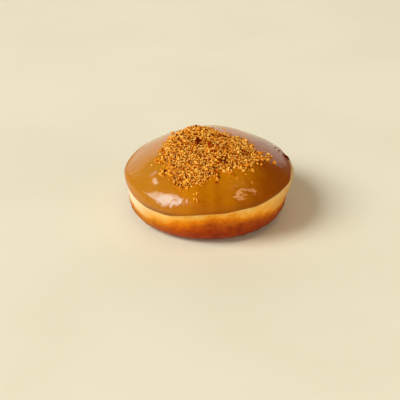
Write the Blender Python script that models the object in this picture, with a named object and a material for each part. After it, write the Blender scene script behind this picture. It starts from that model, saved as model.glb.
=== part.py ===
"""Filled doughnut: a fried yeast bun, a cap of caramel glaze and a heap of biscuit crumbs.

In metres, +Z up. The origin is under the middle of the doughnut, on the surface that it rests
on. Its best side, where the glaze dips lowest, faces -Y.

Every piece is laid out on one map of the bun: a bearing round the upright axis, and a distance
along the skin from the crown, which is the middle of the top.
"""

import math
import random

import bmesh
import bpy
import numpy as np
from mathutils import Vector, geometry, noise

# The bun, from its foot up.
FOOT_RADIUS = 0.0320  # the flat patch that it stands on
CRUST_RADIUS = 0.0430  # fullest part of the browned lower half
CRUST_HEIGHT = 0.0085
WAIST_RADIUS = 0.0454  # widest part, a soft rim at the foot of the dome
WAIST_HEIGHT = 0.0246
CROWN_HEIGHT = 0.0415
DOME_POWER = 1.85  # 2 is a parabola, and less makes the crown more pointed
RIM_SOFTNESS = 0.0050  # length of skin over which the bends of the outline are rounded
OUT_OF_ROUND = ((2, 0.004, 0.5), (3, 0.005, 2.0), (5, 0.002, 4.1))  # waves, share, turn
LEAN = 0.0015  # how far the top has slipped towards +X from the foot
CENTRING = Vector((0.0008, 0.0005, 0))  # brings the middle of the outline over the origin

# The glaze.
GAP = 0.0003  # left between two pieces that touch
GLAZE_THICKNESS = 0.0013
GLAZE_LIP = 0.0022  # width over which the thickness rounds off at the edge
EDGE_BELOW_WAIST = 0.0003
# It hangs lowest at the front, to the left. Each is waves, height, turn.
EDGE_SLANT = ((1, 0.0037, 2.1), (2, 0.0020, 4.2), (3, 0.0007, 0.8), (4, 0.0009, 3.5))
EDGE_WAVES = ((7, 0.0003, 2.2), (12, 0.0002, 5.0), (19, 0.0001, 1.0))
RIPPLE_HEIGHT = 0.00015
RIPPLE_LENGTH = 0.012

# The heap of crumbs, on the map of the skin.
HEAP_MIDDLE = Vector((-0.0010, -0.0110))
HEAP_REACH = 0.0240
# Each is waves, share of the reach, turn: first the lobes of the heap, then its ragged rim.
HEAP_LOBES = ((1, 0.088, 2.6), (2, 0.032, 0.2), (3, 0.158, 6.2), (5, 0.036, 3.2))
HEAP_RAGS = ((9, 0.020, 1.1), (14, 0.024, 4.0), (23, 0.018, 2.0))
HEAP_HEIGHT = 0.0034
HEAP_PEAK = Vector((-0.0080, 0.0030))
HEAP_FALL = 1.6  # how steeply the mound falls away from its peak
HEAP_SHOULDER = 3  # the mound is at full height from a third of the way in
HEAP_EDGE = 0.0008  # thickness of the heap at its rim
BUMP_HEIGHT = 0.0007
BUMP_LENGTH = 0.00275
BUMP_SHOULDER = 6
CORE_CELL = 0.00165  # spacing of the core's corners on top
UNDERSIDE_CELL = 3 * CORE_CELL
RIM_CLEARANCE = 0.6 * CORE_CELL  # from the rim to the nearest corner inside it
CELL_JITTER = 0.22  # share of the spacing by which a corner is moved at random
GRID_REACH = 1.25 * HEAP_REACH

# Single crumbs. Each is a knobbly grain with about fourteen sides.
HEAP_CRUMBS = 175
HEAP_CRUMB_RADII = (0.0008, 0.0019)
FALL_REACH = 1.3 * HEAP_REACH
STRAY_CRUMB_RADII = (0.0006, 0.0012)
STRAY_CLEARANCE = 0.0006  # from a stray crumb to the heap
# Where they fell, on the map: middle, how far they spread, and how many.
STRAY_PATCHES = (
    (Vector((0.0310, -0.0090)), 0.0045, 9),
    (Vector((0.0225, -0.0245)), 0.0035, 4),
    (Vector((-0.0275, -0.0150)), 0.0015, 3),
    (Vector((-0.0265, -0.0250)), 0.0020, 4),
    (Vector((-0.0060, -0.0445)), 0.0020, 4),
    (Vector((0.0400, 0.0080)), 0.0040, 3),
    (Vector((0.0060, 0.0130)), 0.0040, 4),
)
CRUMB_SHARE_SUNK = 0.35
CRUMB_SPACING = 2.4  # from one stray crumb to the next, in radii of the largest
HEAP_CRUMB_SPACING = 2.3  # the same on the heap, in radii of the smallest
HEAP_CRUMB_RARITY = 2.5  # 1 draws every size alike, and more makes large ones rarer
HEAP_CRUMB_TAPER = 0.5  # growth of the largest allowed radius with distance from the rim
CRUMB_ROUGHNESS = 0.22
CRUMB_STRETCH = (0.75, 1.15)
CRUMB_SWEEP = (1 + CRUMB_ROUGHNESS) * CRUMB_STRETCH[1]  # to its furthest corner, in radii
CRUMB_ROWS = 3  # of three corners each
CRUMB_FLATNESS = 0.65  # height of the top row, where 1 is a point
TRIES_PER_CRUMB = 40
SEED = 11

# How finely the solids are cut.
BEARINGS = 64
TOP_RINGS, LIP_RINGS, BARE_RINGS = 8, 3, 10
MERIDIAN_POINTS = 120
OUTLINE_POINTS = 900
SAME_POINT = 1e-7  # two corners nearer than this are one
ROW_PITCH = math.sqrt(0.75)  # height of a triangle whose sides are 1

# Linear colour and roughness.
FRIED_DOUGH = (0.58, 0.25, 0.06, 1), 0.6
CARAMEL = (0.45, 0.15, 0.02, 1), 0.15
BISCUIT = (0.55, 0.22, 0.04, 1), 0.9


def smooth(t):
    """0 to 1 along an S-shaped curve."""
    t = min(1.0, max(0.0, t))
    return t * t * (3 - 2 * t)


def meridian():
    """(radius, height) down the bun's outline, from the crown to the middle of the foot."""
    steps = np.linspace(0, 1, MERIDIAN_POINTS)
    rise = CROWN_HEIGHT - WAIST_HEIGHT
    dome = [(WAIST_RADIUS * t, WAIST_HEIGHT + rise * (1 - t**DOME_POWER)) for t in steps]
    belt = [
        (
            WAIST_RADIUS + (CRUST_RADIUS - WAIST_RADIUS) * smooth(t),
            WAIST_HEIGHT + (CRUST_HEIGHT - WAIST_HEIGHT) * t,
        )
        for t in steps[1:]
    ]
    crust = [
        (
            FOOT_RADIUS + (CRUST_RADIUS - FOOT_RADIUS) * math.cos(t * math.pi / 2),
            CRUST_HEIGHT * (1 - math.sin(t * math.pi / 2)),
        )
        for t in steps[1:]
    ]
    return np.array(dome + belt + crust + [(0, 0)])


def spaced_evenly(line, count):
    """The same line as count points at equal steps along it."""
    along = np.concatenate([[0], np.cumsum(np.linalg.norm(np.diff(line, axis=0), axis=1))])
    stops = np.linspace(0, along[-1], count)
    return np.stack([np.interp(stops, along, column) for column in line.T], axis=1), stops


def softened(line, step):
    """Rounds the bends of an evenly spaced line that starts on the axis and ends there."""
    half = int(RIM_SOFTNESS / step / 2)
    window = np.hanning(2 * half + 3)[1:-1]
    window /= window.sum()
    mirror = np.array([-1, 1])
    before = line[half:0:-1] * mirror
    after = line[-2 : -half - 2 : -1] * mirror
    padded = np.concatenate([before, line, after])
    return np.stack([np.convolve(c, window, "valid") for c in padded.T], axis=1)


OUTLINE, ALONG = spaced_evenly(meridian(), OUTLINE_POINTS)
OUTLINE = softened(OUTLINE, ALONG[1])
TANGENT = np.gradient(OUTLINE, ALONG, axis=0)
TANGENT /= np.linalg.norm(TANGENT, axis=1)[:, None]
OUTWARD = np.stack([-TANGENT[:, 1], TANGENT[:, 0]], axis=1)
WAIST_ALONG = ALONG[np.argmax(OUTLINE[:, 0])]
FOOT_ALONG = ALONG[-1] - FOOT_RADIUS + RIM_SOFTNESS / 2


def roundness(bearing):
    return 1 + sum(
        share * math.cos(waves * bearing + turn) for waves, share, turn in OUT_OF_ROUND
    )


def skin(bearing, along, lift=0.0):
    """The point that far along the bun's skin from the crown, raised off it by lift."""
    radius, height, out, up = (
        np.interp(along, ALONG, column) for column in (*OUTLINE.T, *OUTWARD.T)
    )
    radius = (radius + lift * out) * roundness(bearing)
    height += lift * up
    lean = LEAN * (smooth(height / WAIST_HEIGHT) - 1)
    level = Vector((radius * math.cos(bearing) + lean, radius * math.sin(bearing), height))
    return level + CENTRING


def on_map(place, lift=0.0):
    """skin() for a place on the flat map of the top, whose middle is the crown."""
    return skin(math.atan2(place.y, place.x), place.length, lift)


def wave(bearing, terms):
    return sum(size * math.cos(waves * bearing + turn) for waves, size, turn in terms)


def glaze_edge(bearing):
    """How far along the skin the glaze reaches."""
    return WAIST_ALONG + EDGE_BELOW_WAIST + wave(bearing, EDGE_SLANT + EDGE_WAVES)


def glaze_lift(bearing, along):
    """How high the glaze's outer face stands off the bun."""
    inset = min(1.0, (glaze_edge(bearing) - along) / GLAZE_LIP)
    round_off = math.sqrt(max(0.0, 1 - (1 - inset) ** 2))
    place = along / RIPPLE_LENGTH * Vector((math.cos(bearing), math.sin(bearing), 0))
    ripple = RIPPLE_HEIGHT * noise.noise(place) * inset
    return GAP + GLAZE_THICKNESS * round_off + ripple


def glaze_lift_on_map(place):
    return glaze_lift(math.atan2(place.y, place.x), place.length)


def heap_reach(bearing):
    """From the heap's middle to its rim, on the map."""
    return HEAP_REACH * (1 + wave(bearing, HEAP_LOBES + HEAP_RAGS))


def heap_inset(place):
    """0 at the heap's rim and 1 at its middle, and below 0 outside it."""
    from_middle = place - HEAP_MIDDLE
    bearing = math.atan2(from_middle.y, from_middle.x)
    return 1 - from_middle.length / heap_reach(bearing)


def heap_lift(place):
    """How high the top of the heap's core stands off the bun."""
    to_peak = (place - HEAP_PEAK).length / HEAP_REACH
    inset = heap_inset(place)
    mound = math.exp(-HEAP_FALL * to_peak**2) * smooth(HEAP_SHOULDER * inset)
    bump = BUMP_HEIGHT * noise.noise(Vector((place.x, place.y, 0)) / BUMP_LENGTH)
    base = glaze_lift_on_map(place) + GAP + HEAP_EDGE
    return base + (HEAP_HEIGHT - HEAP_EDGE) * mound + bump * smooth(BUMP_SHOULDER * inset)


def new_object(name, mesh_maker):
    """An object from what mesh_maker draws into a bmesh."""
    drawn = bmesh.new()
    mesh_maker(drawn)
    bmesh.ops.recalc_face_normals(drawn, faces=drawn.faces)
    mesh = bpy.data.meshes.new(name)
    drawn.to_mesh(mesh)
    drawn.free()
    made = bpy.data.objects.new(name, mesh)
    bpy.context.scene.collection.objects.link(made)
    return made


def ring_of(drawn, points):
    return [drawn.verts.new(point) for point in points]


def join_rings(drawn, rings):
    """Pairs of triangles between each ring of vertices and the next, all cut the same way."""
    for upper, lower in zip(rings, rings[1:]):
        for i, corner in enumerate(upper):
            j = (i + 1) % len(upper)
            drawn.faces.new((corner, upper[j], lower[j]))
            drawn.faces.new((corner, lower[j], lower[i]))


def cap_ring(drawn, ring, middle):
    """A fan of triangles from a ring to a point in its middle."""
    centre = drawn.verts.new(middle)
    for i, corner in enumerate(ring):
        drawn.faces.new((centre, corner, ring[(i + 1) % len(ring)]))


def all_bearings():
    return [2 * math.pi * i / BEARINGS for i in range(BEARINGS)]


def glazed_stops(bearing):
    """Distances from the crown at which the glazed part of the skin is cut, down to the edge."""
    edge = glaze_edge(bearing)
    top = np.linspace(0, edge - GLAZE_LIP, TOP_RINGS + 1)[1:]
    turns = np.linspace(0, math.pi / 2, LIP_RINGS + 1)[1:]
    return [*top, *(edge - GLAZE_LIP * (1 - np.sin(turns)))]


def bare_stops(bearing):
    """The same for the bare part, from under the edge to the rim of the foot."""
    return list(np.linspace(glaze_edge(bearing), FOOT_ALONG, BARE_RINGS + 1)[1:])


def rings_at(drawn, stops, lift):
    """One ring for each of the stops, raised off the skin by lift(bearing, along)."""
    columns = [[(b, s) for s in stops(b)] for b in all_bearings()]
    return [ring_of(drawn, [skin(b, s, lift(b, s)) for b, s in row]) for row in zip(*columns)]


def draw_bun(drawn):
    """The whole fried bun, closed at the crown and flat at the foot."""

    def stops(bearing):
        return glazed_stops(bearing) + bare_stops(bearing)

    rings = rings_at(drawn, stops, lambda bearing, along: 0.0)
    join_rings(drawn, rings)
    cap_ring(drawn, rings[0], skin(0, 0))
    foot_middle = sum((v.co for v in rings[-1]), Vector()) / BEARINGS
    cap_ring(drawn, rings[-1], foot_middle)


def draw_glaze(drawn):
    """A cap whose inner face clears the bun and whose outer face rounds over to meet it."""
    outer = rings_at(drawn, glazed_stops, glaze_lift)
    inner = rings_at(drawn, lambda b: glazed_stops(b)[:-1], lambda bearing, along: GAP)
    join_rings(drawn, outer)
    join_rings(drawn, inner)
    join_rings(drawn, [outer[-1], inner[-1]])
    cap_ring(drawn, outer[0], skin(0, 0, glaze_lift(0, 0)))
    cap_ring(drawn, inner[0], skin(0, 0, GAP))


def scattered(middle, reach, spacing, draw):
    """Places about spacing apart inside a circle, on a jittered triangular grid."""
    rows = int(reach / (spacing * ROW_PITCH)) + 1
    for row in range(-rows, rows + 1):
        for column in range(-rows - 2, rows + 3):
            x = (column + 0.5 * (row % 2)) * spacing
            y = row * spacing * ROW_PITCH
            jitter = Vector((draw.uniform(-1, 1), draw.uniform(-1, 1))) * CELL_JITTER * spacing
            yield middle + Vector((x, y)) + jitter


def draw_heap_core(drawn):
    """The heap as one lump: a rough top and a smooth underside that follows the glaze."""
    draw = random.Random(SEED)
    count = int(2 * math.pi * HEAP_REACH / CORE_CELL)
    turns = [2 * math.pi * i / count for i in range(count)]
    rim = [
        HEAP_MIDDLE + heap_reach(a) * Vector((math.cos(a), math.sin(a))) for a in turns
    ]

    def triangulated(spacing):
        inside = [
            place
            for place in scattered(HEAP_MIDDLE, GRID_REACH, spacing, draw)
            if heap_inset(place) * HEAP_REACH > RIM_CLEARANCE
        ]
        loop = [list(range(count))]
        flat = geometry.delaunay_2d_cdt(rim + inside, [], loop, 1, SAME_POINT)
        return flat[0], flat[2]

    def sheet(places, faces, lift, rim_vertices=None):
        made = list(rim_vertices or [])
        made += [drawn.verts.new(on_map(p, lift(p))) for p in places[len(made) :]]
        for face in faces:
            drawn.faces.new([made[i] for i in face])
        return made[:count]

    def underside(place):
        return glaze_lift_on_map(place) + GAP

    top_rim = sheet(*triangulated(CORE_CELL), heap_lift)
    bottom_rim = sheet(*triangulated(UNDERSIDE_CELL), underside)
    join_rings(drawn, [top_rim, bottom_rim])


def crumb(name, centre, radius, draw):
    """One knobbly grain."""

    def draw_grain(drawn):
        stretch = Vector([draw.uniform(*CRUMB_STRETCH) for _ in range(3)])
        spin = draw.uniform(0, 2 * math.pi)
        for row in range(CRUMB_ROWS):
            up = CRUMB_FLATNESS * (2 * row / (CRUMB_ROWS - 1) - 1)
            for i in range(3):
                turn = spin + math.pi / 3 * (2 * i + row)
                out = math.sqrt(1 - up * up)
                corner = Vector((out * math.cos(turn), out * math.sin(turn), up))
                dent = radius * (1 + CRUMB_ROUGHNESS * draw.uniform(-1, 1))
                drawn.verts.new(centre + corner * stretch * dent)
        bmesh.ops.convex_hull(drawn, input=drawn.verts)

    return new_object(name, draw_grain)


def spread_places(count, spacing, fall, accept):
    """Up to count places from fall() that accept() passes, kept spacing apart."""
    found = []
    for _ in range(TRIES_PER_CRUMB * count):
        place = fall()
        if accept(place) and all((place - other).length > spacing for other in found):
            found.append(place)
        if len(found) == count:
            break
    return found


def heap_crumbs(draw):
    """The larger crumbs, half sunk in the top of the heap and clear of the glaze."""
    small, large = HEAP_CRUMB_RADII

    def fall():
        aside = Vector((draw.uniform(-1, 1), draw.uniform(-1, 1)))
        return HEAP_MIDDLE + aside * FALL_REACH

    def on_heap(place):
        return heap_inset(place) > 0

    made = []
    places = spread_places(HEAP_CRUMBS, HEAP_CRUMB_SPACING * small, fall, on_heap)
    for i, place in enumerate(places):
        radius = small + (large - small) * draw.random() ** HEAP_CRUMB_RARITY
        radius = min(radius, small + HEAP_CRUMB_TAPER * heap_inset(place) * HEAP_REACH)
        lowest = glaze_lift_on_map(place) + 2 * GAP + radius * CRUMB_SWEEP
        height = max(heap_lift(place) + radius * (0.5 - CRUMB_SHARE_SUNK), lowest)
        made.append(crumb(f"heap_crumb_{i}", on_map(place, height), radius, draw))
    return made


def stray_crumbs(draw):
    """Single crumbs that lie on the glaze round the heap, stuck a little way into it."""
    small, large = STRAY_CRUMB_RADII
    made = []

    def clear(place):
        return -heap_inset(place) * HEAP_REACH > large * CRUMB_SWEEP + STRAY_CLEARANCE

    for middle, spread, count in STRAY_PATCHES:

        def fall():
            return middle + Vector((draw.gauss(0, spread), draw.gauss(0, spread)))

        for place in spread_places(count, CRUMB_SPACING * large, fall, clear):
            radius = draw.uniform(small, large)
            height = glaze_lift_on_map(place) + radius * (1 - 2 * CRUMB_SHARE_SUNK)
            name = f"stray_crumb_{len(made)}"
            made.append(crumb(name, on_map(place, height), radius, draw))
    return made


def fuse(body, grains):
    """Unites the grains with the body, and keeps only the outer skin of the result."""
    group = bpy.data.collections.new(body.name + "_grains")
    for grain in grains:
        group.objects.link(grain)
    union = body.modifiers.new("grains", "BOOLEAN")
    union.operation = "UNION"
    union.operand_type = "COLLECTION"
    union.collection = group
    bpy.context.view_layer.update()
    evaluated = body.evaluated_get(bpy.context.evaluated_depsgraph_get())
    united = bpy.data.meshes.new_from_object(evaluated)
    body.modifiers.clear()
    body.data = united
    for grain in grains:
        bpy.data.objects.remove(grain)
    bpy.data.collections.remove(group)
    keep_outer_skin(united)


def keep_outer_skin(mesh):
    """Drops every shell but the largest: sealed hollows and loose scraps."""
    drawn = bmesh.new()
    drawn.from_mesh(mesh)
    left, shells = set(drawn.verts), []
    while left:
        shell, edge_of_shell = set(), [left.pop()]
        while edge_of_shell:
            vertex = edge_of_shell.pop()
            shell.add(vertex)
            near = {edge.other_vert(vertex) for edge in vertex.link_edges} & left
            left -= near
            edge_of_shell += near
        shells.append(shell)
    largest = max(shells, key=len)
    scraps = [vertex for vertex in drawn.verts if vertex not in largest]
    bmesh.ops.delete(drawn, geom=scraps, context="VERTS")
    drawn.to_mesh(mesh)
    drawn.free()


def finish(made, colour, roughness):
    """Gives a piece its own material and smooth shading."""
    material = bpy.data.materials.new(made.name)
    material.use_nodes = True
    shader = material.node_tree.nodes["Principled BSDF"]
    shader.inputs["Base Color"].default_value = colour
    shader.inputs["Roughness"].default_value = roughness
    shader.inputs["Metallic"].default_value = 0.0
    made.data.materials.clear()
    made.data.materials.append(material)
    made.data.shade_smooth()


def main():
    for old in list(bpy.data.objects):
        bpy.data.objects.remove(old)
    draw = random.Random(SEED)

    bun = new_object("bun", draw_bun)
    finish(bun, *FRIED_DOUGH)

    glaze = new_object("glaze", draw_glaze)
    fuse(glaze, stray_crumbs(draw))
    finish(glaze, *CARAMEL)

    heap = new_object("crumb_heap", draw_heap_core)
    fuse(heap, heap_crumbs(draw))
    finish(heap, *BISCUIT)


main()
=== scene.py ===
"""A filled doughnut with caramel glaze and biscuit crumbs, on a pale table in soft daylight."""

import math

import bpy
import numpy as np
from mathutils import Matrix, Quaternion, Vector, noise


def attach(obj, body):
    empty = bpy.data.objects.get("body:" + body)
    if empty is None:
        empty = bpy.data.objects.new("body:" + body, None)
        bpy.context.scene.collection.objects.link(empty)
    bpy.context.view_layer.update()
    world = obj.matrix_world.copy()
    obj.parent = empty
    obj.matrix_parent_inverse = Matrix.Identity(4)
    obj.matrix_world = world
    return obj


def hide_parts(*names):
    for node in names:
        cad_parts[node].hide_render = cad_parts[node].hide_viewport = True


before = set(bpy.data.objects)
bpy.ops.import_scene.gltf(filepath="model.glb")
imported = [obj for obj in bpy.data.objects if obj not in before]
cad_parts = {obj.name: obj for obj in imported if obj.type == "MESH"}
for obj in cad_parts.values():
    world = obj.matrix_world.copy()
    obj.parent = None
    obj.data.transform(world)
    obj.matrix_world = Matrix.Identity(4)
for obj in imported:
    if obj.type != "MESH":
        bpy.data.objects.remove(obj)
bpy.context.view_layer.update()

# ---------------------------------------------------------------------------------------------
# Camera: a long lens at arm's length, looking down on the doughnut from the front.
# It aims a little below and beside the doughnut, which therefore sits high in the frame.

VIEW_ELEVATION = math.radians(27)
VIEW_DISTANCE = 0.500
LOOKED_AT = Vector((0.0, 0.0, 0.025))
AIM_ASIDE = -0.0044
AIM_BELOW = 0.0183
SENSOR_WIDTH_MM = 36
LENS_MM = 82.4
NEAREST_SEEN = 0.01

away = Vector((0, math.cos(VIEW_ELEVATION), -math.sin(VIEW_ELEVATION)))
upward = Vector((0, math.sin(VIEW_ELEVATION), math.cos(VIEW_ELEVATION)))
camera = bpy.data.objects.new("camera", bpy.data.cameras.new("camera"))
camera.data.sensor_width = SENSOR_WIDTH_MM
camera.data.lens = LENS_MM
camera.data.clip_start = NEAREST_SEEN
camera.location = LOOKED_AT - away * VIEW_DISTANCE
aim = LOOKED_AT + Vector((AIM_ASIDE, 0, 0)) - upward * AIM_BELOW
camera.rotation_euler = (aim - camera.location).to_track_quat("-Z", "Y").to_euler()
bpy.context.scene.collection.objects.link(camera)
bpy.context.scene.camera = camera

# ---------------------------------------------------------------------------------------------
# Light: a large soft window high on the left, with brighter sky in its middle, a pale wall low
# behind, a small warm lamp high on the right, and the dim room and a doorway in front. Around
# the table the room is pale up to eye level and dim above it.

class Mix:
    """A value on its way through a material. Sums and products add the nodes they need."""

    def __init__(self, tree, socket=None):
        self.tree, self.socket = tree, socket

    def node(self, kind, settings=None, values=None, outlet=0):
        """Adds one node, sets it up, fills or links its sockets, and returns an outlet."""
        made = self.tree.nodes.new("ShaderNode" + kind)
        for name, setting in (settings or {}).items():
            if name == "stops":
                ramp = made.color_ramp.elements
                while len(ramp) < len(setting):
                    ramp.new(0.5)
                for stop, (place, colour) in zip(ramp, setting):
                    stop.position, stop.color = place, colour
            else:
                setattr(made, name, setting)
        for name, value in (values or {}).items():
            if isinstance(value, Mix):
                self.tree.links.new(value.socket, made.inputs[name])
            else:
                made.inputs[name].default_value = value
        return Mix(self.tree, made.outputs[outlet])

    def reckon(self, operation, first, second):
        return self.node("Math", {"operation": operation}, {0: first, 1: second})

    def __add__(self, other):
        return self.reckon("ADD", self, other)

    def __sub__(self, other):
        return self.reckon("SUBTRACT", self, other)

    def __rsub__(self, other):
        return self.reckon("SUBTRACT", other, self)

    def __mul__(self, other):
        return self.reckon("MULTIPLY", self, other)

    __radd__, __rmul__ = __add__, __mul__

    def rise(self, low, high):
        """0 up to low and 1 from high, with a smooth slope between."""
        ends = {"From Min": low, "From Max": high}
        settings = {"interpolation_type": "SMOOTHSTEP"}
        return self.node("MapRange", settings, {"Value": self, **ends})

    def tint(self, from_colour, to_colour):
        """from_colour where this value is 0, and to_colour where it is 1."""
        colours = {0: self, 6: from_colour, 7: to_colour}
        return self.node("Mix", {"data_type": "RGBA"}, colours, outlet=2)

    def speckle(self, scale, detail=2.0, roughness=0.5, distortion=0.0):
        """Noise with about scale blotches to the metre, mostly from 0.3 to 0.7."""
        place = self.node("TexCoord", outlet="Object")
        amounts = {"Detail": detail, "Roughness": roughness, "Distortion": distortion}
        return self.node("TexNoise", {}, {"Vector": place, "Scale": scale, **amounts})


def daylight(red, green, blue):
    """A colour as the eye sees it, each part out of 255, for a socket."""
    parts = [part / 255 for part in (red, green, blue)]
    return (*(p / 12.92 if p < 0.04045 else ((p + 0.055) / 1.055) ** 2.4 for p in parts), 1)


WINDOW = (-0.705, -0.250, 0.655)
WINDOW_SIZE = (3.3, 4.0)
WINDOW_ROLL = -22
LAMPS = (  # name, direction, distance, size, brightness, colour, roll in degrees
    ("window", WINDOW, 7.0, WINDOW_SIZE, 6.5, (0.96, 0.99, 0.93), WINDOW_ROLL),
    ("window_glow", WINDOW, 7.0, WINDOW_SIZE, 5.1, (1.0, 0.99, 0.97), WINDOW_ROLL),
    ("sky", (-0.660, -0.345, 0.665), 6.8, (1.7, 2.2), 7.0, (0.42, 0.90, 1.0), WINDOW_ROLL),
    ("wall", (-0.06, 1.0, 0.28), 3.0, (4.6, 1.8), 0.88, (1.0, 0.87, 0.78), 0),
    ("far_lamp", (0.39, -0.02, 0.92), 2.0, (0.18, 0.60), 11.5, (1.0, 0.60, 0.28), 35),
    ("room", (-0.30, -0.87, 0.38), 4.8, (6.8, 4.8), 0.60, (1.0, 0.95, 0.88), 0),
    ("doorway", (0.75, -0.60, 0.30), 4.8, (4.0, 3.2), 0.80, (1.0, 0.88, 0.74), 0),
)
ONLY_MIRRORED = ("sky",)
NEVER_MIRRORED = ("window_glow", "room", "doorway")

for name, direction, distance, size, brightness, colour, roll in LAMPS:
    light = bpy.data.lights.new(name, "AREA")
    light.shape = "RECTANGLE"
    light.size, light.size_y = size
    light.energy = brightness * math.pi * size[0] * size[1]
    light.color = colour
    panel = bpy.data.objects.new(name, light)
    panel.location = LOOKED_AT + Vector(direction).normalized() * distance
    facing = (LOOKED_AT - panel.location).to_track_quat("-Z", "Y")
    panel.rotation_euler = (facing @ Quaternion((0, 0, 1), math.radians(roll))).to_euler()
    panel.visible_camera = False
    panel.visible_diffuse = name not in ONLY_MIRRORED
    panel.visible_glossy = name not in NEVER_MIRRORED
    bpy.context.scene.collection.objects.link(panel)

ROOM_WALLS = daylight(208, 199, 175)
ROOM_GLOOM = daylight(30, 28, 26)

world = bpy.data.worlds.new("room")
world.use_nodes = True
mix = Mix(world.node_tree)
upright = mix.node("SeparateXYZ", {}, {0: mix.node("TexCoord", outlet="Generated")}, outlet="Z")
shades = upright.rise(0.35, 0.65).tint(ROOM_WALLS, ROOM_GLOOM)
world.node_tree.links.new(shades.socket, world.node_tree.nodes["Background"].inputs["Color"])
world.cycles_visibility.glossy = False
bpy.context.scene.world = world
bpy.context.scene.view_settings.view_transform = "Standard"

# ---------------------------------------------------------------------------------------------
# Table: a plain matt top in cream paint, laid flat, with the faintest unevenness in its colour.
# It is far wider than the view, so that nothing else shows behind the doughnut.

def new_material(name):
    """A material, the start of its mix, and its shader's sockets."""
    material = bpy.data.materials.new(name)
    material.use_nodes = True
    tree = material.node_tree
    return material, Mix(tree), tree.nodes["Principled BSDF"].inputs


def pour(value, socket):
    """Links a mixed value to a socket of the shader."""
    value.tree.links.new(value.socket, socket)


TABLE_REACH = 3.0
CREAM = daylight(240, 237, 216)
CREAM_SHADE = daylight(237, 233, 211)
CREAM_CLOUDS = 9.0  # blotches to the metre

table_mesh = bpy.data.meshes.new("table")
corners = [(x * TABLE_REACH, y * TABLE_REACH, 0) for x, y in ((-1, -1), (1, -1), (1, 1), (-1, 1))]
table_mesh.from_pydata(corners, [], [(0, 1, 2, 3)])
table = bpy.data.objects.new("table", table_mesh)
bpy.context.scene.collection.objects.link(table)
material, mix, shader = new_material("cream_paint")
pour(mix.speckle(CREAM_CLOUDS).rise(0.35, 0.65).tint(CREAM, CREAM_SHADE), shader["Base Color"])
shader["Roughness"].default_value = 0.6
shader["Specular IOR Level"].default_value = 0.2
table_mesh.materials.append(material)

# ---------------------------------------------------------------------------------------------
# Bun: yeast dough, proved round and fried on both sides in deep fat. The fat browns and
# blisters the underside, and the belt that floats above the fat stays pale and soft.

FOOT_RADIUS = 0.0320
CRUST_RADIUS = 0.0430
CRUST_HEIGHT = 0.0085
WAIST_RADIUS = 0.0454
WAIST_HEIGHT = 0.0246
CROWN_HEIGHT = 0.0415
DOME_POWER = 1.85
RIM_SOFTNESS = 0.0050
OUT_OF_ROUND = ((2, 0.004, 0.5), (3, 0.005, 2.0), (5, 0.002, 4.1))  # waves, share, turn
LEAN = 0.0015
CENTRING = np.array((0.0008, 0.0005, 0))

CURVE_STEPS, OUTLINE_STEPS = 120, 900
BEARINGS = 720
BUN_TOP_RINGS, BUN_SIDE_RINGS, BUN_FOOT_RINGS = 8, 100, 18
UNDER_GLAZE = 0.0040  # how far up under the glaze the fine side reaches
GLAZE_BLEND, FOOT_BLEND = 0.0020, 0.0030  # where its roughness fades in and out
PAST_FOOT = 0.0020  # how far past the foot's rim the roughness ends

BROWN_ALONG = 0.0611  # how far from the crown the brown begins
BROWN_BLEND = 0.0040
BROWN_WAVES = (
    (1, 0.0017, 3.0), (2, 0.0018, 5.5), (3, 0.0016, 1.3), (4, 0.0006, 3.3), (11, 0.0004, 1.0)
)
CREASE_DEPTH, CREASE_WIDTH = 0.00028, 0.0011
SWELL_HEIGHT, SWELL_REACH = 0.0004, 0.0060
WRINKLE_HEIGHT, WRINKLE_SIZE = 0.00024, 0.0036
PORE_DEPTH, PORE_SIZE = 0.00018, 0.0012
BLISTER_HEIGHT, BLISTER_SIZE = 0.00032, 0.0034
BLISTER_START, BLISTER_POWER = 0.05, 1.2  # which part of the noise rises, and how steeply


def smooth(t):
    t = np.clip(t, 0, 1)
    return t * t * (3 - 2 * t)


def meridian():
    """(radius, height) down the bun's outline, from the crown to the middle of the foot."""
    t = np.linspace(0, 1, CURVE_STEPS)
    rise = CROWN_HEIGHT - WAIST_HEIGHT
    dome = WAIST_RADIUS * t, WAIST_HEIGHT + rise * (1 - t**DOME_POWER)
    narrowing = (CRUST_RADIUS - WAIST_RADIUS) * smooth(t[1:])
    belt = WAIST_RADIUS + narrowing, WAIST_HEIGHT + (CRUST_HEIGHT - WAIST_HEIGHT) * t[1:]
    turn = t[1:] * math.pi / 2
    undercut = FOOT_RADIUS + (CRUST_RADIUS - FOOT_RADIUS) * np.cos(turn)
    crust = undercut, CRUST_HEIGHT * (1 - np.sin(turn))
    return np.hstack([dome, belt, crust, [[0], [0]]]).T


def evenly(line, count):
    """count points at equal steps along a line, and how far along it each one lies."""
    along = np.concatenate([[0], np.cumsum(np.linalg.norm(np.diff(line, axis=0), axis=1))])
    stops = np.linspace(0, along[-1], count)
    return np.stack([np.interp(stops, along, column) for column in line.T], axis=1), stops


def softened(line, step):
    """Rounds the bends of an evenly spaced line that starts on the axis and ends there."""
    half = int(RIM_SOFTNESS / step / 2)
    window = np.hanning(2 * half + 3)[1:-1]
    mirror = np.array([-1, 1])
    ends = line[half:0:-1] * mirror, line[-2 : -half - 2 : -1] * mirror
    padded = np.concatenate([ends[0], line, ends[1]])
    return np.stack([np.convolve(c, window / window.sum(), "valid") for c in padded.T], axis=1)


OUTLINE, ALONG = evenly(meridian(), OUTLINE_STEPS)
OUTLINE = softened(OUTLINE, ALONG[1])
TANGENT = np.gradient(OUTLINE, ALONG, axis=0)
TANGENT /= np.linalg.norm(TANGENT, axis=1)[:, None]
OUTWARD = np.stack([-TANGENT[:, 1], TANGENT[:, 0]], axis=1)
WAIST_ALONG = ALONG[np.argmax(OUTLINE[:, 0])]
FOOT_ALONG = ALONG[-1] - FOOT_RADIUS + RIM_SOFTNESS / 2


def wave(bearing, terms):
    return sum(size * np.cos(waves * bearing + turn) for waves, size, turn in terms)


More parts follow.
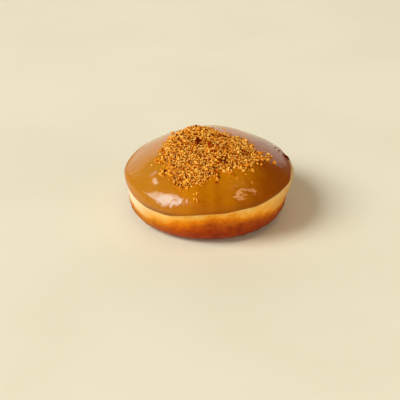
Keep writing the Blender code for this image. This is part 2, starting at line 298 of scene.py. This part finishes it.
def skin(bearing, along, lift=0.0):
    """Points on the bun's skin by bearing and distance from the crown, raised by lift."""
    radius, height, out, up = (
        np.interp(along, ALONG, column) for column in (*OUTLINE.T, *OUTWARD.T)
    )
    radius = (radius + lift * out) * (1 + wave(bearing, OUT_OF_ROUND))
    height = height + lift * up
    lean = LEAN * (smooth(height / WAIST_HEIGHT) - 1)
    level = [radius * np.cos(bearing) + lean, radius * np.sin(bearing), height]
    return np.stack(level, axis=-1) + CENTRING


def bumps(points, size, seed=0.0, octaves=1):
    """Smooth noise from -1 to 1 at each point, with bumps about size across."""
    flat = np.asarray(points).reshape(-1, 3) / size + seed
    values = [noise.fractal(Vector(p), 1.0, 2.0, octaves) for p in flat]
    return np.reshape(values, np.shape(points)[:-1])


def ring_mesh(name, rings, top, bottom):
    """Closes a stack of rings with a point above the first and a point below the last."""
    rows, columns = rings.shape[:2]
    row, column = np.mgrid[: rows - 1, :columns]
    here = row * columns + column
    beside = row * columns + (column + 1) % columns
    quads = np.stack([here, here + columns, beside + columns, beside], axis=-1)
    first = np.arange(columns)
    last = first + (rows - 1) * columns
    turned = (first + 1) % columns
    crown, sole = rows * columns, rows * columns + 1
    faces = quads.reshape(-1, 4).tolist()
    faces += [(crown, a, b) for a, b in zip(first.tolist(), turned.tolist())]
    faces += [(sole, b, a) for a, b in zip(last.tolist(), last[turned].tolist())]
    mesh = bpy.data.meshes.new(name)
    mesh.from_pydata(np.vstack([rings.reshape(-1, 3), top, bottom]).tolist(), [], faces)
    mesh.shade_smooth()
    made = bpy.data.objects.new(name, mesh)
    bpy.context.scene.collection.objects.link(made)
    return made


def note_on(mesh, name, values):
    """Stores one number for each corner point, for the material to read."""
    notes = mesh.attributes.new(name, "FLOAT", "POINT").data
    notes.foreach_set("value", np.asarray(values, float))


EDGE_BELOW_WAIST = 0.0003
EDGE_SLANT = ((1, 0.0037, 2.1), (2, 0.0020, 4.2), (3, 0.0007, 0.8), (4, 0.0009, 3.5))
EDGE_WAVES = ((7, 0.0003, 2.2), (12, 0.0002, 5.0), (19, 0.0001, 1.0))


def glaze_edge(bearing):
    return WAIST_ALONG + EDGE_BELOW_WAIST + wave(bearing, EDGE_SLANT + EDGE_WAVES)


turns = np.arange(BEARINGS) * 2 * math.pi / BEARINGS
edge = glaze_edge(turns)
start = edge - UNDER_GLAZE
hidden = np.linspace(0.02, 1, BUN_TOP_RINGS)[:-1, None] * start
side = start + np.linspace(0, 1, BUN_SIDE_RINGS)[:, None] * (FOOT_ALONG - start)
sole = FOOT_ALONG + np.linspace(0, 1, BUN_FOOT_RINGS + 2)[1:-1, None] * (ALONG[-1] - FOOT_ALONG)
along = np.vstack([hidden, side, np.repeat(sole, BEARINGS, axis=1)])
bearing = np.broadcast_to(turns, along.shape)
bare = skin(bearing, along)

below_belt = along - BROWN_ALONG - wave(bearing, BROWN_WAVES)
baked = smooth(below_belt / BROWN_BLEND + 0.5)
from_glaze = along - edge
shown = smooth(from_glaze / GLAZE_BLEND + 0.5)
shown = shown * smooth((FOOT_ALONG + PAST_FOOT - along) / FOOT_BLEND)
wrinkle = WRINKLE_HEIGHT * bumps(bare, WRINKLE_SIZE, seed=3.0, octaves=3)
pores = -PORE_DEPTH * np.maximum(0, bumps(bare, PORE_SIZE, seed=8.0, octaves=2))
blister_field = bumps(bare, BLISTER_SIZE, seed=15.0, octaves=3)
raised = np.maximum(0, blister_field - BLISTER_START) ** BLISTER_POWER
blisters = BLISTER_HEIGHT * baked * raised
crease = -CREASE_DEPTH * np.exp(-((below_belt / CREASE_WIDTH) ** 2))
fading = np.exp(-np.maximum(0, from_glaze) / SWELL_REACH)
swell = SWELL_HEIGHT * smooth(from_glaze / GLAZE_BLEND) * fading
lift = shown * (wrinkle + pores + blisters + crease) + swell
rings = skin(bearing, along, lift)
rings[..., 2] = np.maximum(rings[..., 2], 0)  # the foot is flat
bun = ring_mesh("fried_bun", rings, skin(0, 0), skin(0, ALONG[-1]))
# In millimetres. The last two points of each mesh are its middle above and below.
note_on(bun.data, "below_belt", [*(below_belt * 1000).ravel(), -50, 60])
note_on(bun.data, "blister", [*blister_field.ravel(), 0, 0])

MILKY_DOUGH = daylight(244, 220, 188)
# Painted shade: the tan for the left edge.
TAN_PAINTED_SHADE = daylight(148, 88, 22)
# Painted shade: the dull colour for the far right of the belt.
DULL_PAINTED_SHADE = daylight(182, 134, 84)
CREAM_DOUGH = daylight(254, 224, 160)
PALE_DOUGH = daylight(252, 200, 108)
GOLDEN_DOUGH = daylight(247, 166, 44)
ORANGE_CRUST = daylight(222, 126, 0)
BROWN_CRUST = daylight(184, 80, 0)
DEEP_CRUST = daylight(156, 54, 0)
# The darkest crust: scorched patches, and painted shade on the crust towards the right.
DARK_CRUST_AND_SHADE = daylight(122, 38, 0)
DOUGH_CLOUDS, CRUST_PATCHES, DOUGH_FLECKS = 110, 95, 700  # blotches to the metre
CLOUDED, FLECKED = 9, 2  # millimetres by which clouds and flecks shift the browning
BROWNING_SPAN = 20  # millimetres from the palest dough to the darkest crust

material, mix, shader = new_material("fried_dough")
depth = mix.node("Attribute", {"attribute_name": "below_belt"}, outlet="Fac")
across = mix.node("SeparateXYZ", {}, {0: mix.node("TexCoord", outlet="Object")})
blister = mix.node("Attribute", {"attribute_name": "blister"}, outlet="Fac")
cloud = mix.speckle(DOUGH_CLOUDS, 3, 0.6)
fleck = mix.speckle(DOUGH_FLECKS, 4, 0.6)
above = mix.node("Math", {"operation": "MINIMUM"}, {0: depth, 1: 0.0})
paler = above * across.rise(-0.02, 0.045) * 0.5
browning = depth - paler + (cloud - 0.5) * CLOUDED + (fleck - 0.5) * FLECKED
bake = (
    (0.12, CREAM_DOUGH),
    (0.29, PALE_DOUGH),
    (0.42, GOLDEN_DOUGH),
    (0.52, ORANGE_CRUST),
    (0.70, BROWN_CRUST),
    (0.95, DEEP_CRUST),
)
colour = mix.node("ValToRGB", {"stops": bake}, {"Fac": browning * (1 / BROWNING_SPAN) + 0.5})
crusty = depth.rise(0, 4)
patch = mix.speckle(CRUST_PATCHES, 3, 0.55, 0.5)
scorched = (patch + blister * 0.15).rise(0.45, 0.75) * crusty * 0.9

# Painted shade: tan towards the left, and darker crust and a duller belt towards the right. The
# belt's far left end is paler and milkier.
leftward = across * -1
left_painted_shade = leftward.rise(0.010, 0.036) * (0.35 + depth.rise(-3.5, 0.5) * 0.30)
# Painted shade on the crust towards the right.
right_crust_painted_shade = across.rise(0.005, 0.030) * crusty * 0.3
milky = leftward.rise(0.028, 0.045) * (1 - depth.rise(-5, 0)) * 0.9
# Painted shade on the far right of the belt.
right_belt_painted_shade = across.rise(0.026, 0.047) * (1 - depth.rise(-3, 2)) * 0.5
colour = right_crust_painted_shade.tint(left_painted_shade.tint(colour, TAN_PAINTED_SHADE), DARK_CRUST_AND_SHADE)
colour = right_belt_painted_shade.tint(milky.tint(colour, MILKY_DOUGH), DULL_PAINTED_SHADE)
pour(scorched.tint(colour, DARK_CRUST_AND_SHADE), shader["Base Color"])
pour(0.62 - crusty * 0.22 + (fleck - 0.5) * 0.2, shader["Roughness"])
grain = mix.node("Bump", {}, {"Height": fleck, "Strength": 0.35, "Distance": 0.0003})
pour(grain, shader["Normal"])
shader["Specular IOR Level"].default_value = 0.10
shader["Subsurface Weight"].default_value = 0.25
shader["Subsurface Radius"].default_value = (0.0030, 0.0012, 0.0004)
shader["Subsurface Scale"].default_value = 1.0
bun.data.materials.append(material)
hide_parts("bun")
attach(bun, "root")

# ---------------------------------------------------------------------------------------------
# Glaze: caramel icing, poured warm over the crown. It ran furthest down the front, set with a
# rounded lip, and its skin wrinkled slightly as it cooled. It clings to the bun by itself.

GLAZE_THICKNESS, GLAZE_THINNING = 0.0015, 0.0009  # on the crown, and how much less at the edge
THINNING_REACH = 0.0060
GLAZE_LIP = 0.0022
GLAZE_CLING = 0.00005  # from the bun's skin to the glaze's inner face
HANG_BEARING = math.radians(244)
HANG_DROP = 0.0070  # below the waist, where its edge has thickened most
HANG_FILLING = 0.7
HANG = (  # along, height, spread down and across: a hollow and a roll where it hangs lowest
    (0.0494, -0.0011, 0.0027, 0.0170),
    (0.0524, 0.0018, 0.0025, 0.0270),
)
RUN_DOWN = (1, 1, 0.45)  # sags are longer downhill
SAG_HEIGHT, SAG_SIZE = 0.00022, 0.0130
FOLD_HEIGHT, FOLD_SIZE = 0.00007, 0.0050
CRINKLE_HEIGHT, CRINKLE_SIZE = 0.00006, 0.0018
SETTLED_AT = 0.0030  # inset from the edge where the face has its full relief
CROWN_RISE = ((0.0030, 0.0260), 0.00060, 0.0130)  # place on the map, height, spread
DROWNED_CRUMBS = (  # the same for crumbs that sank in
    ((-0.0289, -0.0265), 0.00125, 0.0034),
    ((0.0125, -0.0432), 0.00016, 0.0017),
    ((0.0200, -0.0402), 0.00018, 0.0018),
    ((0.0242, -0.0352), 0.00020, 0.0016),
    ((0.0228, -0.0310), 0.00024, 0.0009),
)
GLAZE_TOP_RINGS, GLAZE_LIP_RINGS, GLAZE_INNER_RINGS = 100, 10, 6


def glaze_lift(bearing, along):
    """How high the glaze's face stands off the bun, without its fine wrinkles."""
    from_edge = glaze_edge(bearing) - along
    hang = np.clip((glaze_edge(bearing) - WAIST_ALONG) / HANG_DROP, 0, 1)
    thinning = GLAZE_THINNING * (1 - HANG_FILLING * hang)
    lift = GLAZE_THICKNESS - thinning * np.exp(-np.maximum(from_edge, 0) / THINNING_REACH)
    aside = np.arctan2(np.sin(bearing - HANG_BEARING), np.cos(bearing - HANG_BEARING))
    for place, height, down, wide in HANG:
        off = (aside * place / wide) ** 2 + ((along - place) / down) ** 2
        lift = lift + height * np.exp(-off)
    inset = np.clip(from_edge / GLAZE_LIP, 0, 1)
    return lift * np.sqrt(1 - (1 - inset) ** 2)


def glaze_lift_at(places):
    return glaze_lift(np.arctan2(places[..., 1], places[..., 0]), np.hypot(*places.T).T)


top = np.linspace(0.01, 1, GLAZE_TOP_RINGS)[:, None] * (edge - GLAZE_LIP)
rolling = np.linspace(0, math.pi / 2, GLAZE_LIP_RINGS + 1)[1:, None]
lip = edge - GLAZE_LIP * (1 - np.sin(rolling))
under = np.linspace(0.98, 0.02, GLAZE_INNER_RINGS)[:, None] * (edge - GLAZE_LIP)
along = np.vstack([top, lip])
bearing = np.broadcast_to(turns, along.shape)
faired = skin(bearing, along)
downhill = faired * RUN_DOWN
settled = smooth((edge - along) / SETTLED_AT)
lift = glaze_lift(bearing, along) + settled * (
    SAG_HEIGHT * bumps(downhill, SAG_SIZE, seed=5.0)
    + FOLD_HEIGHT * bumps(downhill, FOLD_SIZE, seed=9.0, octaves=2)
    + CRINKLE_HEIGHT * bumps(faired, CRINKLE_SIZE, seed=3.3, octaves=2)
)
places = along[..., None] * np.stack([np.cos(bearing), np.sin(bearing)], axis=-1)
for place, height, spread in (CROWN_RISE, *DROWNED_CRUMBS):
    lift = lift + height * np.exp(-((places - place) ** 2).sum(axis=-1) / spread**2)
outer = skin(bearing, along, lift)
inner = skin(np.broadcast_to(turns, under.shape), under, GLAZE_CLING)
glaze = ring_mesh(
    "poured_glaze",
    np.vstack([outer, inner]),
    skin(0, 0, lift[0].mean()),
    skin(0, 0, GLAZE_CLING),
)
# 1 at the glaze's edge and less up its face; the material makes the caramel darker, rougher and
# less glossy there.
thick = np.exp(-(edge - along) / THINNING_REACH)
note_on(glaze.data, "thick", [*thick.ravel(), *np.zeros(under.size), 0, 0])

CARAMEL = daylight(196, 121, 5)
# The deepest caramel, for darker clouds and streaks, and for painted shade on the right.
CARAMEL_DEEP_AND_SHADE = daylight(149, 73, 0)
CARAMEL_LIGHT = daylight(212, 138, 20)
# Painted sheen: the yellower caramel towards the left.
CARAMEL_PAINTED_SHEEN = daylight(186, 124, 30)
CARAMEL_CLOUDS, CARAMEL_FLECKS = 60, 900  # blotches to the metre
CARAMEL_RUNS = 6.0  # the same round the axis, for the streaks that run down from the crown

material, mix, shader = new_material("caramel_glaze")
place = mix.node("TexCoord", outlet="Object")
level = mix.node("VectorMath", {"operation": "MULTIPLY"}, {0: place, 1: (1, 1, 0)})
heading = mix.node("VectorMath", {"operation": "NORMALIZE"}, {0: level})
runs = mix.node("TexNoise", {}, {"Vector": heading, "Scale": CARAMEL_RUNS, "Detail": 1.0})
across = mix.node("SeparateXYZ", {}, {0: place})
flecks = mix.speckle(CARAMEL_FLECKS, 3, 0.6)
thick = mix.node("Attribute", {"attribute_name": "thick"}, outlet="Fac")
# Painted shade: the caramel darkens towards the right.
right_painted_shade = across.rise(0.012, 0.036)
# Painted sheen: the caramel turns yellower towards the left, less so near the edge.
left_painted_sheen = (across * -1).rise(0.008, 0.030)
deep_and_shade = runs * 0.45 + mix.speckle(CARAMEL_CLOUDS) * 0.65 + right_painted_shade * 0.45 + thick * 0.35
colour = deep_and_shade.rise(0.3, 1.1).tint(CARAMEL, CARAMEL_DEEP_AND_SHADE)
colour = (left_painted_sheen * (0.75 - thick * 0.6)).tint(colour, CARAMEL_PAINTED_SHEEN)
pour((flecks.rise(0.55, 0.8) * 0.25).tint(colour, CARAMEL_LIGHT), shader["Base Color"])
pour(0.24 + flecks * 0.1 + thick * 0.2, shader["Roughness"])
pour(1.0 - thick.rise(0.25, 0.70) * 0.95, shader["Coat Weight"])
shader["IOR"].default_value = 1.4
shader["Specular IOR Level"].default_value = 0.06
shader["Coat Roughness"].default_value = 0.14
shader["Coat IOR"].default_value = 1.45
shader["Subsurface Weight"].default_value = 0.15
shader["Subsurface Radius"].default_value = (0.0025, 0.0010, 0.0003)
shader["Subsurface Scale"].default_value = 1.0
glaze.data.materials.append(material)
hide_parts("glaze")
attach(glaze, "root")

# ---------------------------------------------------------------------------------------------
# Heap: the finest of the biscuit crumbs, packed together where they were spooned on while the
# glaze was wet. The grains in the next sections lie on it and in it.

HEAP_MIDDLE = np.array((-0.0010, -0.0110))
HEAP_REACH = 0.0234
HEAP_LOBES = (
    (1, 0.103, 3.25), (2, 0.056, 6.05), (3, 0.178, 6.12), (4, 0.017, 0.9), (5, 0.047, 3.55)
)
HEAP_RAGS = ((9, 0.020, 1.1), (14, 0.024, 4.0), (23, 0.018, 2.0))
HEAP_HEIGHT = 0.0035
HEAP_PEAK = np.array((-0.0100, 0.0035))
HEAP_FALL, HEAP_SHOULDER = 1.6, 3  # how fast it falls away from its peak, and at its rim
HEAP_TURNS, HEAP_RINGS, HEAP_UNDER_RINGS = 420, 110, 4
HEAP_BED, HEAP_SINK = 0.0002, 0.0003  # its face over the glaze, and its underside in it
GRIT_HEIGHT, GRIT_SIZE = 0.00045, 0.0013
GRIT_SHOULDER = 8  # how fast the grit fades at the rim


def heap_inset(places):
    """0 at the heap's rim and 1 at its middle, and below 0 outside it."""
    off = places - HEAP_MIDDLE
    reach = HEAP_REACH * (1 + wave(np.arctan2(off[..., 1], off[..., 0]), HEAP_LOBES + HEAP_RAGS))
    return 1 - np.hypot(off[..., 0], off[..., 1]) / reach


def heap_lift(places):
    """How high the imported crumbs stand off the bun, without their grit."""
    to_peak = np.hypot(*(places - HEAP_PEAK).T).T / HEAP_REACH
    mound = np.exp(-HEAP_FALL * to_peak**2) * smooth(HEAP_SHOULDER * heap_inset(places))
    return glaze_lift_at(places) + HEAP_HEIGHT * mound


def on_map(places, lift):
    """Points over places on the flat map of the top, whose middle is the crown."""
    return skin(np.arctan2(places[..., 1], places[..., 0]), np.hypot(*places.T).T, lift)


heap_turns = np.arange(HEAP_TURNS) * 2 * math.pi / HEAP_TURNS
rim = HEAP_REACH * (1 + wave(heap_turns, HEAP_LOBES + HEAP_RAGS))
heading = np.stack([np.cos(heap_turns), np.sin(heap_turns)], axis=-1)
reaches = np.linspace(0.01, 0.985, HEAP_RINGS)[:, None] * rim
places = HEAP_MIDDLE + reaches[..., None] * heading
flat = np.concatenate([places, np.zeros((*places.shape[:2], 1))], axis=-1)
grit = GRIT_HEIGHT * bumps(flat, GRIT_SIZE, seed=4.0, octaves=3)
grit = grit * smooth(GRIT_SHOULDER * heap_inset(places))
upper = on_map(places, heap_lift(places) + grit + HEAP_BED)
reaches = np.linspace(0.97, 0.05, HEAP_UNDER_RINGS)[:, None] * rim
below = HEAP_MIDDLE + reaches[..., None] * heading
lower = on_map(below, glaze_lift_at(below) - HEAP_SINK)
middle = HEAP_MIDDLE[None]
heap = ring_mesh(
    "packed_crumbs",
    np.vstack([upper, lower]),
    on_map(middle, heap_lift(middle) + HEAP_BED),
    on_map(middle, glaze_lift_at(middle) - HEAP_SINK),
)

CRUMB_BROWN = daylight(172, 68, 0)
# The darkest crumb colour: dark crumbs, and painted shade in the heap's gaps and on low grains.
CRUMB_DARK_AND_SHADE = daylight(84, 8, 0)
PACKED_CLUMPS, PACKED_GRIT = 420, 1500  # blotches to the metre

material, mix, shader = new_material("packed_biscuit")
coarse = mix.speckle(PACKED_CLUMPS, 3, 0.6)
fine = mix.speckle(PACKED_GRIT, 3, 0.7)
# The face shows in the gaps between the grains: dark brown, partly the crumbs' own colour and
# partly painted shade between them.
colour = (coarse + (fine - 0.5)).rise(0.3, 0.7).tint(CRUMB_DARK_AND_SHADE, CRUMB_BROWN)
pour(colour, shader["Base Color"])
shader["Roughness"].default_value = 0.9
shader["Specular IOR Level"].default_value = 0.05
bump = mix.node("Bump", {}, {"Height": fine, "Strength": 0.6, "Distance": 0.0004})
pour(bump, shader["Normal"])
heap.data.materials.append(material)
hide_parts("crumb_heap")
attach(heap, "root")

# ---------------------------------------------------------------------------------------------
# Grains: single crumbs of spiced biscuit, broken small and sieved by the spoon. Most are as
# fine as coarse sand, the largest like poppy seeds, and they lie as they fell, half bedded in.

GRAIN_KINDS = (  # name, count, smallest and largest radius, cuts
    ("crumbs_fine", 9000, 0.00020, 0.00033, 0),
    ("crumbs_medium", 2450, 0.00032, 0.00052, 1),
    ("crumbs_coarse", 110, 0.00052, 0.00080, 2),
)
GRAIN_SHAPES = 24
GRAIN_ROUGHNESS = 0.24
GRAIN_DENTS, GRAIN_PITS, DENT_SIZE = 1.6, 0.25, 0.9  # on a ball of radius 1
GRAIN_STRETCH = (0.62, 1.3)
SMALL_ONES = 1.6  # 1 draws every radius alike, and more makes large ones rarer
STACKING = (-0.2, 0.9)  # how high a grain's middle lies on the heap, in radii
BURIED_TONE, PAINTED_SHADE_RISE, TONE_SPREAD = 0.24, 0.74, 0.30  # painted shade: lower grains darker and higher ones lighter
HEAP_SPAN = 1.35  # the heap lies within this many reaches of its middle
RIM_BAND, RIM_SHARE = 0.16, 0.35  # grains are thinner in this band, and thinnest at the rim


def ball(cuts):
    """Corner points and faces of a ball cut from a twenty-sided solid."""
    golden = (1 + 5**0.5) / 2
    points = [
        Vector(p).normalized()
        for a in (-1, 1)
        for b in (-golden, golden)
        for p in ((0, a, b), (a, b, 0), (b, 0, a))
    ]
    near = 1.1  # a little more than the length of an edge
    count = range(len(points))
    faces = [
        (i, j, k)
        for i in count
        for j in count
        for k in count
        if i < j < k
        and max((points[a] - points[b]).length for a, b in ((i, j), (j, k), (i, k))) < near
    ]
    for _ in range(cuts):
        halves, finer = {}, []

        def halfway(a, b):
            if (min(a, b), max(a, b)) not in halves:
                halves[min(a, b), max(a, b)] = len(points)
                points.append((points[a] + points[b]).normalized())
            return halves[min(a, b), max(a, b)]

        for i, j, k in faces:
            ij, jk, ki = halfway(i, j), halfway(j, k), halfway(k, i)
            finer += [(i, ij, ki), (j, jk, ij), (k, ki, jk), (ij, jk, ki)]
        faces = finer
    outward = []
    for face in faces:
        a, b, c = (points[i] for i in face)
        outward.append(face if (b - a).cross(c - a).dot(a) > 0 else face[::-1])
    return np.array(points), np.array(outward)


def grains(name, places, lifts, radii, cuts, draw, tones, flatness=1.0):
    """One piece of many knobbly grains, each with its own turn, stretch and tone."""
    corners, faces = ball(cuts)
    shapes = []
    for i in range(GRAIN_SHAPES):
        dents = GRAIN_DENTS * bumps(corners, DENT_SIZE, seed=10.0 * i, octaves=2)
        pits = draw.normal(0, GRAIN_PITS, len(corners))
        shapes.append(corners * (1 + GRAIN_ROUGHNESS * (dents + pits))[:, None])
    centres = on_map(places, lifts)
    vertices = np.empty((len(places), len(corners), 3))
    for i, (centre, radius) in enumerate(zip(centres, radii)):
        stretch = draw.uniform(*GRAIN_STRETCH, 3)
        spin = np.linalg.qr(draw.normal(size=(3, 3)))[0]
        spin *= np.sign(np.linalg.det(spin))
        lump = shapes[i % GRAIN_SHAPES] * stretch * radius @ spin
        vertices[i] = centre + lump * (1, 1, flatness)
    starts = np.arange(len(places))[:, None, None] * len(corners)
    triangles = (faces[None] + starts).reshape(-1, 3)
    mesh = bpy.data.meshes.new(name)
    mesh.from_pydata(vertices.reshape(-1, 3).tolist(), [], triangles.tolist())
    note_on(mesh, "tone", np.repeat(tones, len(corners)))
    made = bpy.data.objects.new(name, mesh)
    bpy.context.scene.collection.objects.link(made)
    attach(made, "root")
    return made


def scatter_on_heap(count, draw):
    """Places on the heap at random, thinner towards its rim."""
    kept = np.empty((0, 2))
    while len(kept) < count:
        tries = HEAP_MIDDLE + draw.uniform(-HEAP_SPAN, HEAP_SPAN, (4 * count, 2)) * HEAP_REACH
        inset = heap_inset(tries)
        welcome = smooth(inset / RIM_BAND + RIM_SHARE)
        kept = np.vstack([kept, tries[(inset > 0) & (draw.random(len(tries)) < welcome)]])
    return kept[:count]


CRUMB_GOLD = daylight(254, 204, 98)
CRUMB_TAN = daylight(240, 154, 28)
GRAIN_MOTTLE = 1300  # blotches to the metre

grain_material, mix, shader = new_material("biscuit_grain")
tone = mix.node("Attribute", {"attribute_name": "tone"}, outlet="Fac")
mottle = mix.speckle(GRAIN_MOTTLE, 3, 0.6)
shade = tone + (mottle - 0.5) * 0.8
stops = ((0.0, CRUMB_DARK_AND_SHADE), (0.26, CRUMB_BROWN), (0.56, CRUMB_TAN), (1.0, CRUMB_GOLD))
pour(shade.node("ValToRGB", {"stops": stops}, {"Fac": shade}), shader["Base Color"])
shader["Roughness"].default_value = 0.85
shader["Specular IOR Level"].default_value = 0.05
bump = mix.node("Bump", {}, {"Height": mottle, "Strength": 0.5, "Distance": 0.0003})
pour(bump, shader["Normal"])

draw = np.random.RandomState(7)
for name, count, small, large, cuts in GRAIN_KINDS:
    places = scatter_on_heap(count, draw)
    radii = small + (large - small) * draw.random(count) ** SMALL_ONES
    stacked = draw.uniform(*STACKING, count)
    lifts = heap_lift(places) + HEAP_BED + radii * stacked
    # Painted shade: grains lower in the heap are darker, and higher ones lighter.
    tones = BURIED_TONE + PAINTED_SHADE_RISE * stacked + draw.normal(0, TONE_SPREAD, count)
    piece = grains(name, places, lifts, radii, cuts, draw, tones)
    piece.data.materials.append(grain_material)
    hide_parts("crumb_heap")

# ---------------------------------------------------------------------------------------------
# Dark lumps: bits from the well-baked edge of a biscuit, each a few dark crumbs that held
# together. They lie in the heap, where they fell with the rest.

LUMPS = (  # place on the map, number of crumbs
    (-0.0057, -0.0087, 11),
    (0.0060, -0.0042, 4),
    (0.0015, -0.0087, 4),
    (0.0005, -0.0145, 4),
    (0.0056, -0.0230, 5),
    (0.0080, -0.0205, 6),
    (0.0035, -0.0326, 3),
    (-0.0234, -0.0252, 2),
)
LUMP_SPREAD = 0.0011
LUMP_RADII = (0.0005, 0.0010)
LUMP_TONES = (-0.04, 0.26)
LUMP_STACKING = (0.3, 1.0)  # in radii

draw = np.random.RandomState(15)
places = np.vstack(
    [np.array((x, y)) + draw.normal(0, LUMP_SPREAD, (count, 2)) for x, y, count in LUMPS]
)
radii = draw.uniform(*LUMP_RADII, len(places))
tones = draw.uniform(*LUMP_TONES, len(places))
lifts = heap_lift(places) + radii * draw.uniform(*LUMP_STACKING, len(places))
lumps = grains("crumbs_dark", places, lifts, radii, 2, draw, tones)
lumps.data.materials.append(grain_material)
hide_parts("crumb_heap")

# ---------------------------------------------------------------------------------------------
# Stray crumbs: those that rolled off the heap and stuck to the wet glaze, thick beside the
# heap and sparse further down. A few thin dark flakes lie near the edge on the right.

STRAYS = (  # place on the map, spread, number of crumbs
    ((0.0285, -0.0105), 0.0030, 80),
    ((0.0192, -0.0212), 0.0026, 40),
    ((0.0102, -0.0276), 0.0016, 26),
    ((0.0033, -0.0335), 0.0010, 7),
    ((-0.0272, -0.0152), 0.0012, 22),
    ((-0.0238, -0.0252), 0.0017, 34),
    ((-0.0067, -0.0440), 0.0016, 14),
    ((0.0222, -0.0235), 0.0007, 5),
    ((0.0148, -0.0312), 0.0003, 2),
    ((-0.0215, 0.0180), 0.0012, 6),
    ((0.0060, 0.0130), 0.0040, 12),
)
STRAY_RADII = (0.00026, 0.00080)
STRAY_SMALL_ONES = 2.2
STRAY_TONE, STRAY_TONE_SPREAD = 0.6, 0.16
STRAY_STACKING = 0.5  # how high its middle lies over the glaze, in radii
OUTER_INSET = 0.02  # a stray lies at least this far out, where the rim is 0 and outside is less
FRINGE_COUNT, FRINGE_TRIES, FRINGE_LIMIT = 240, 40000, -0.12
FRINGE_THINNING, FRINGE_SPAN = 22, 1.5

draw = np.random.RandomState(5)
places = np.vstack(
    [np.array(place) + draw.normal(0, spread, (count, 2)) for place, spread, count in STRAYS]
)
around = HEAP_MIDDLE + draw.uniform(-FRINGE_SPAN, FRINGE_SPAN, (FRINGE_TRIES, 2)) * HEAP_REACH
nearness = np.exp(heap_inset(around) * FRINGE_THINNING)
nearness[heap_inset(around) < FRINGE_LIMIT] = 0
fringe = around[(heap_inset(around) < OUTER_INSET) & (draw.random(len(around)) < nearness)]
places = np.vstack([places, fringe[:FRINGE_COUNT]])
places = places[heap_inset(places) < OUTER_INSET]
small, large = STRAY_RADII
radii = small + (large - small) * draw.random(len(places)) ** STRAY_SMALL_ONES
lifts = glaze_lift_at(places) + radii * STRAY_STACKING
tones = draw.normal(STRAY_TONE, STRAY_TONE_SPREAD, len(radii))
strays = grains("crumbs_stray", places, lifts, radii, 1, draw, tones)
strays.data.materials.append(grain_material)
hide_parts("glaze")

FLAKES = (  # place on the map, radius
    ((0.0376, 0.0108), 0.0007),
    ((0.0398, 0.0090), 0.0008),
    ((0.0428, 0.0074), 0.0006),
    ((0.0436, 0.0068), 0.0008),
    ((0.0444, 0.0064), 0.0009),
    ((0.0452, 0.0058), 0.0009),
    ((0.0459, 0.0050), 0.0008),
)
FLAKE_FLATNESS = 0.45
FLAKE_LIFT = 0.0003
FLAKE_TONES = (0.15, -0.1)  # from the innermost to the one at the edge

places, radii = (np.array(column) for column in zip(*FLAKES))
tones = np.linspace(*FLAKE_TONES, len(FLAKES))
lifts = glaze_lift_at(places) + FLAKE_LIFT
flakes = grains("crumb_flakes", places, lifts, radii, 2, draw, tones, FLAKE_FLATNESS)
flakes.data.materials.append(grain_material)
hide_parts("glaze")
